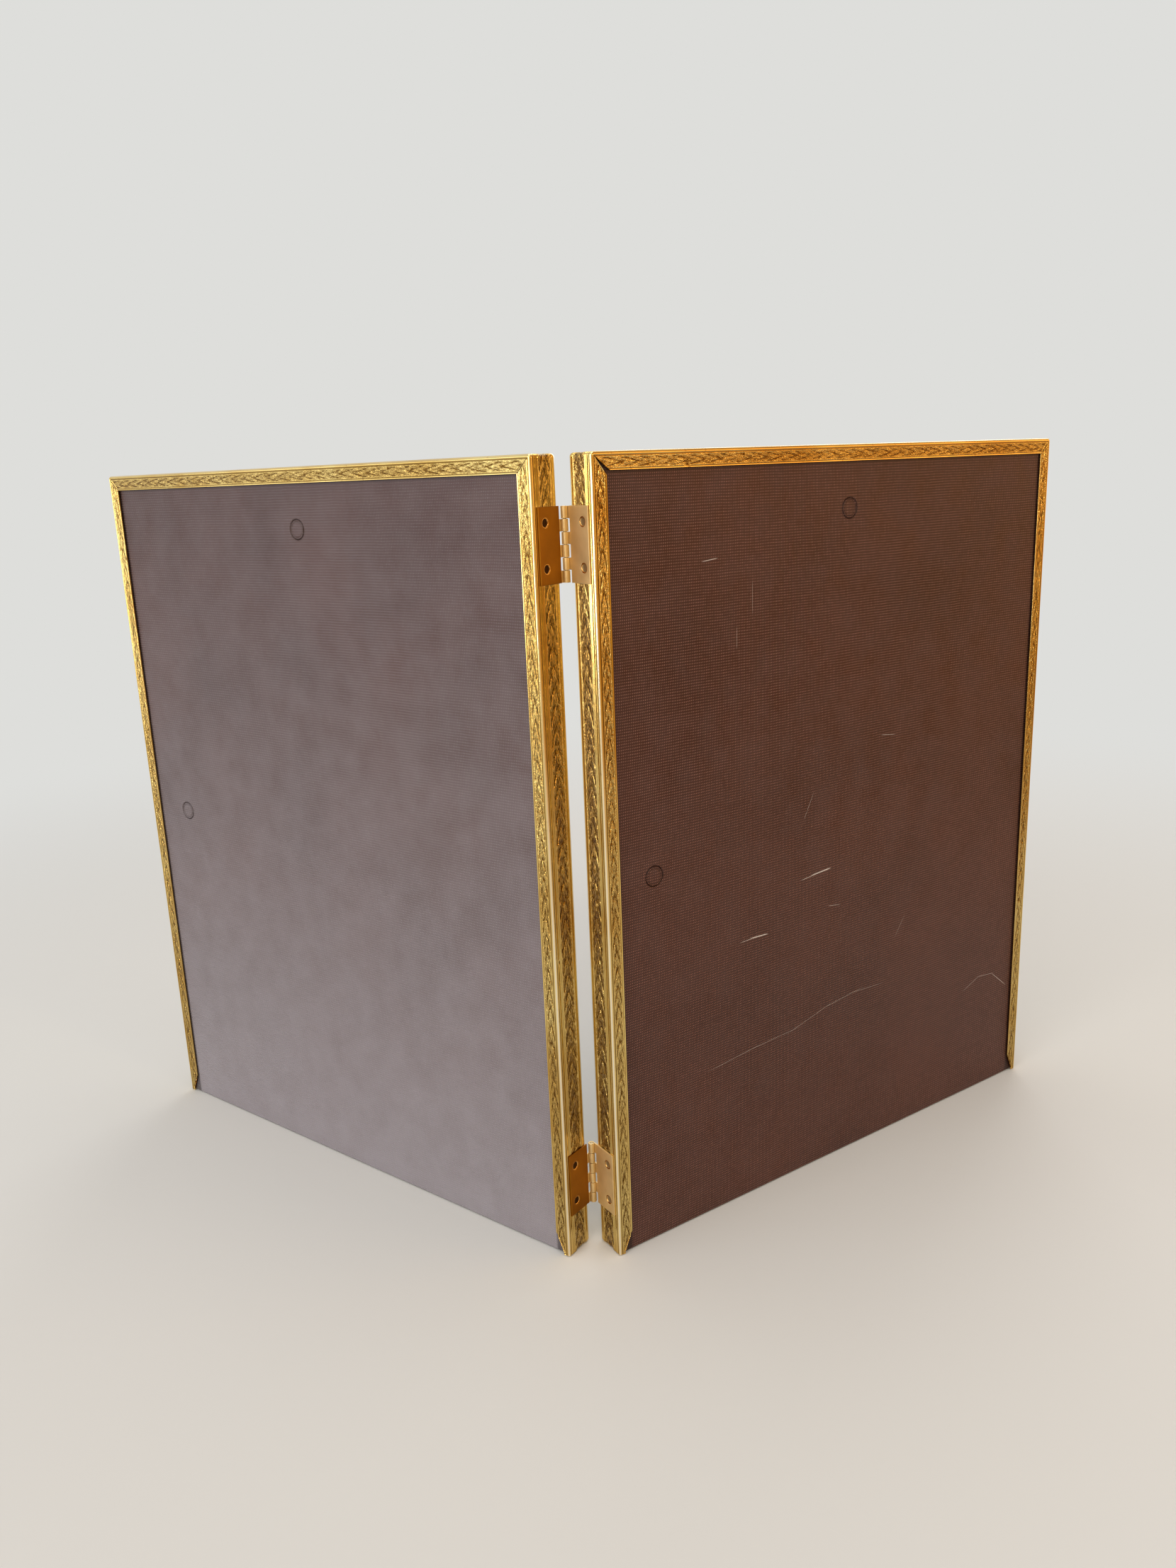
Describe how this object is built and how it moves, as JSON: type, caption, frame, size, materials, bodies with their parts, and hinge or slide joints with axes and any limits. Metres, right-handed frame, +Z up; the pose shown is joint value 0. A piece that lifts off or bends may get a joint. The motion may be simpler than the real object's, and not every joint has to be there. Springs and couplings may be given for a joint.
{
  "type": "hinged double photo frame",
  "caption": "Folding double photo frame: two upright gold metal frames with glass and slide-out backing boards, joined by small butt hinges and standing open as a V.",
  "frame": {"origin": "on the table under the middle of the bounding box of the frame as it stands open", "axes": "+Z up; +X to the right as the two backs are seen from behind; +Y towards the open side of the V, where the pictures are"},
  "size_m": [0.3526, 0.1282, 0.2572],
  "materials": {
    "gold_strip": "bright gold-plated, pressed relief",
    "satin_brass": "satin",
    "rivet_brass": "bright",
    "pin_steel": "brass-washed",
    "tinned_steel": "tinned",
    "linen_board": "brown, linen-embossed, low sheen",
    "corrugated_pad": "plain kraft",
    "card": "plain matt",
    "glass": "clear float"
  },
  "bodies": {
    "left_frame": {"left_frame_strip": "gold_strip", "left_splice_plate": "tinned_steel", "left_glass": "glass", "left_picture_card": "card", "left_filler_pad": "corrugated_pad", "left_upper_leaf": "satin_brass", "left_lower_leaf": "satin_brass", "left_rivets": "rivet_brass", "upper_pin": "pin_steel", "lower_pin": "pin_steel"},
    "right_frame": {"right_frame_strip": "gold_strip", "right_splice_plate": "tinned_steel", "right_glass": "glass", "right_picture_card": "card", "right_filler_pad": "corrugated_pad", "right_upper_leaf": "satin_brass", "right_lower_leaf": "satin_brass", "right_rivets": "rivet_brass"},
    "left_board": {"left_backing_board": "linen_board"},
    "right_board": {"right_backing_board": "linen_board"}
  },
  "joints": [
    {"name": "fold", "type": "hinge", "parent": "left_frame", "child": "right_frame", "pos_m": [0, -0.05447, 0.1286], "axis": [0, 0, 1], "range_deg": [-70.8, 109.2]},
    {"name": "left_board_out", "type": "slide", "parent": "left_frame", "child": "left_board", "axis": [0, 0, -1], "range_m": [0, 0.26]},
    {"name": "right_board_out", "type": "slide", "parent": "right_frame", "child": "right_board", "axis": [0, 0, -1], "range_m": [0, 0.26]}
  ]
}
